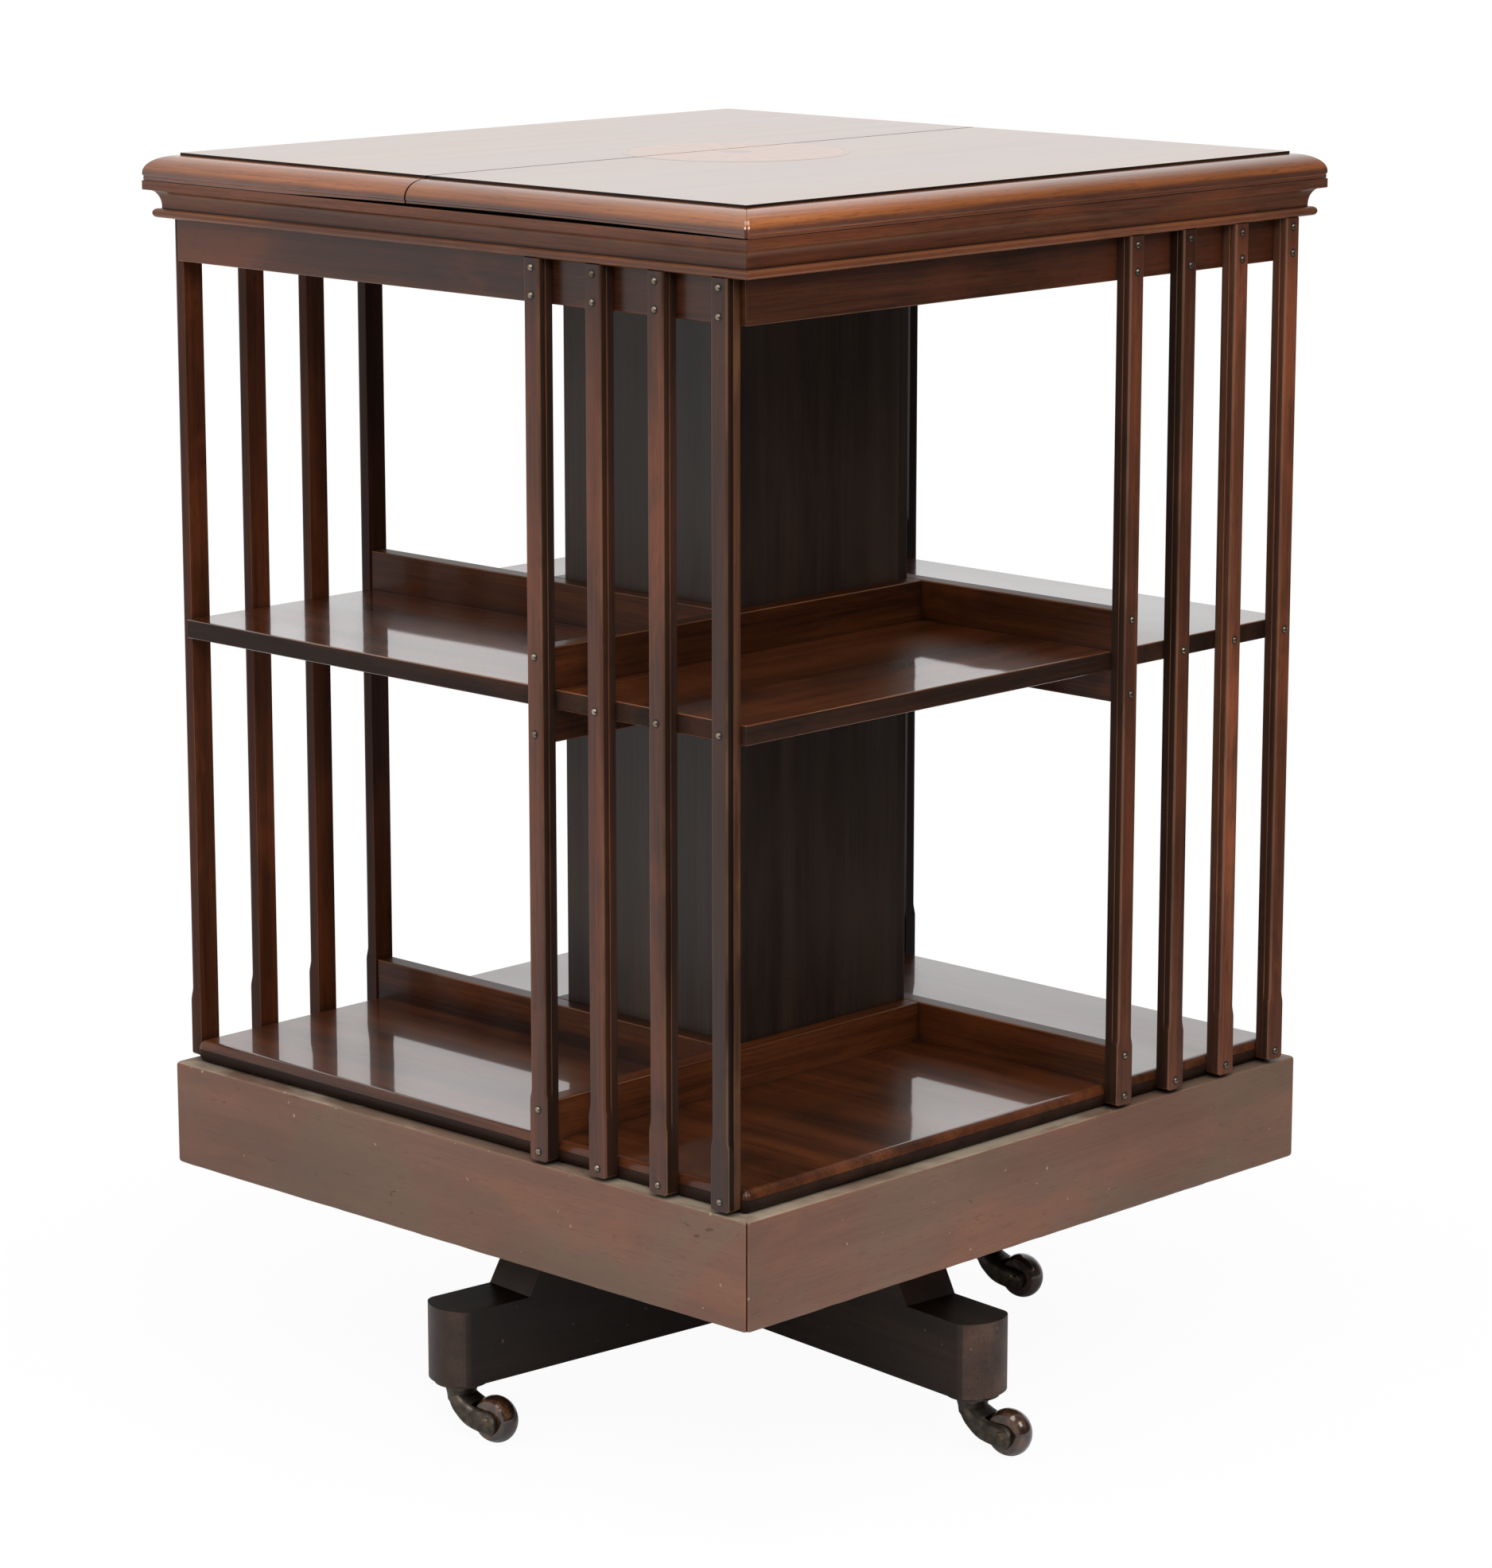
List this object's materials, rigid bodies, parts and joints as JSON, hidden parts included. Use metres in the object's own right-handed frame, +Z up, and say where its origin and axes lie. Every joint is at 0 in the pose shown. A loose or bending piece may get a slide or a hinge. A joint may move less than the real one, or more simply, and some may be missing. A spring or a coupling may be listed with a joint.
{
  "type": "revolving bookcase",
  "caption": "Square revolving bookcase with two pinwheel tiers of book bays, slatted corners, moulded top and a cross base on swan-neck casters.",
  "frame": {"origin": "on the floor under the pivot, which is the centre of the footprint", "axes": "+Z up along the pivot; X and Y along the sides of the case at rest; the front, with the joint of the top running away from it, faces -Y"},
  "size_m": [0.5047, 0.499, 0.7483],
  "materials": {
    "mahogany": "French polished mahogany",
    "column_mahogany": "dark stained, satin",
    "top_mahogany": "French polished mahogany, faded",
    "satinwood": "polished inlay",
    "pine": "unfinished",
    "base_mahogany": "dark stained, worn",
    "stud_bronze": "aged bronze",
    "pivot_brass": "turned",
    "screw_steel": "plain steel",
    "pivot_iron": "cast",
    "spindle_steel": "turned",
    "caster_brass": "aged brass",
    "axle_steel": "plain steel",
    "wheel_ceramic": "brown glaze"
  },
  "bodies": {
    "base": {"base_arm_x": "base_mahogany", "base_arm_y": "base_mahogany", "pivot_flange": "pivot_iron", "pivot_spindle": "spindle_steel", "base_screws": "screw_steel", "caster_plates": "caster_brass"},
    "case": {"plinth_front": "mahogany", "plinth_right": "mahogany", "plinth_back": "mahogany", "plinth_left": "mahogany", "plinth_blocks": "pine", "bottom_board": "mahogany", "book_stop_front": "mahogany", "book_stop_right": "mahogany", "book_stop_back": "mahogany", "book_stop_left": "mahogany", "divider_front": "mahogany", "divider_right": "mahogany", "divider_back": "mahogany", "divider_left": "mahogany", "shelf_front": "mahogany", "shelf_right": "mahogany", "shelf_back": "mahogany", "shelf_left": "mahogany", "column_panel_front": "column_mahogany", "column_panel_right": "column_mahogany", "column_panel_back": "column_mahogany", "column_panel_left": "column_mahogany", "frieze_front": "mahogany", "frieze_right": "mahogany", "frieze_back": "mahogany", "frieze_left": "mahogany", "cornice_front": "mahogany", "cornice_right": "mahogany", "cornice_back": "mahogany", "cornice_left": "mahogany", "ceiling_board": "mahogany", "top_left": "top_mahogany", "top_right": "top_mahogany", "patera_inlay": "satinwood", "slats_front": "mahogany", "slats_right": "mahogany", "slats_back": "mahogany", "slats_left": "mahogany", "slat_studs": "stud_bronze", "pivot_cup": "pivot_brass", "cup_screws": "screw_steel", "guide_bush": "pivot_brass"},
    "swivel_right": {"caster_horn_right": "caster_brass", "caster_axle_right": "axle_steel"},
    "wheel_right": {"caster_wheel_right": "wheel_ceramic"},
    "swivel_back": {"caster_horn_back": "caster_brass", "caster_axle_back": "axle_steel"},
    "wheel_back": {"caster_wheel_back": "wheel_ceramic"},
    "swivel_left": {"caster_horn_left": "caster_brass", "caster_axle_left": "axle_steel"},
    "wheel_left": {"caster_wheel_left": "wheel_ceramic"},
    "swivel_front": {"caster_horn_front": "caster_brass", "caster_axle_front": "axle_steel"},
    "wheel_front": {"caster_wheel_front": "wheel_ceramic"}
  },
  "joints": [
    {"name": "case_turn", "type": "hinge", "parent": "base", "child": "case", "pos_m": [0, 0, 0.1923], "axis": [0, 0, 1], "continuous": true},
    {"name": "caster_swivel_right", "type": "hinge", "parent": "base", "child": "swivel_right", "pos_m": [0.21401, -0.02061, 0.0325], "axis": [0, 0, 1], "continuous": true},
    {"name": "caster_roll_right", "type": "hinge", "parent": "swivel_right", "child": "wheel_right", "pos_m": [0.24088, -0.01793, 0.0143], "axis": [-0.0993, 0.9951, 0], "continuous": true},
    {"name": "caster_swivel_back", "type": "hinge", "parent": "base", "child": "swivel_back", "pos_m": [0.02061, 0.21401, 0.0325], "axis": [0, 0, 1], "continuous": true},
    {"name": "caster_roll_back", "type": "hinge", "parent": "swivel_back", "child": "wheel_back", "pos_m": [0.04747, 0.21669, 0.0143], "axis": [-0.0993, 0.9951, 0], "continuous": true},
    {"name": "caster_swivel_left", "type": "hinge", "parent": "base", "child": "swivel_left", "pos_m": [-0.21401, 0.02061, 0.0325], "axis": [0, 0, 1], "continuous": true},
    {"name": "caster_roll_left", "type": "hinge", "parent": "swivel_left", "child": "wheel_left", "pos_m": [-0.18714, 0.02329, 0.0143], "axis": [-0.0993, 0.9951, 0], "continuous": true},
    {"name": "caster_swivel_front", "type": "hinge", "parent": "base", "child": "swivel_front", "pos_m": [-0.02061, -0.21401, 0.0325], "axis": [0, 0, 1], "continuous": true},
    {"name": "caster_roll_front", "type": "hinge", "parent": "swivel_front", "child": "wheel_front", "pos_m": [0.00626, -0.21133, 0.0143], "axis": [-0.0993, 0.9951, 0], "continuous": true}
  ]
}
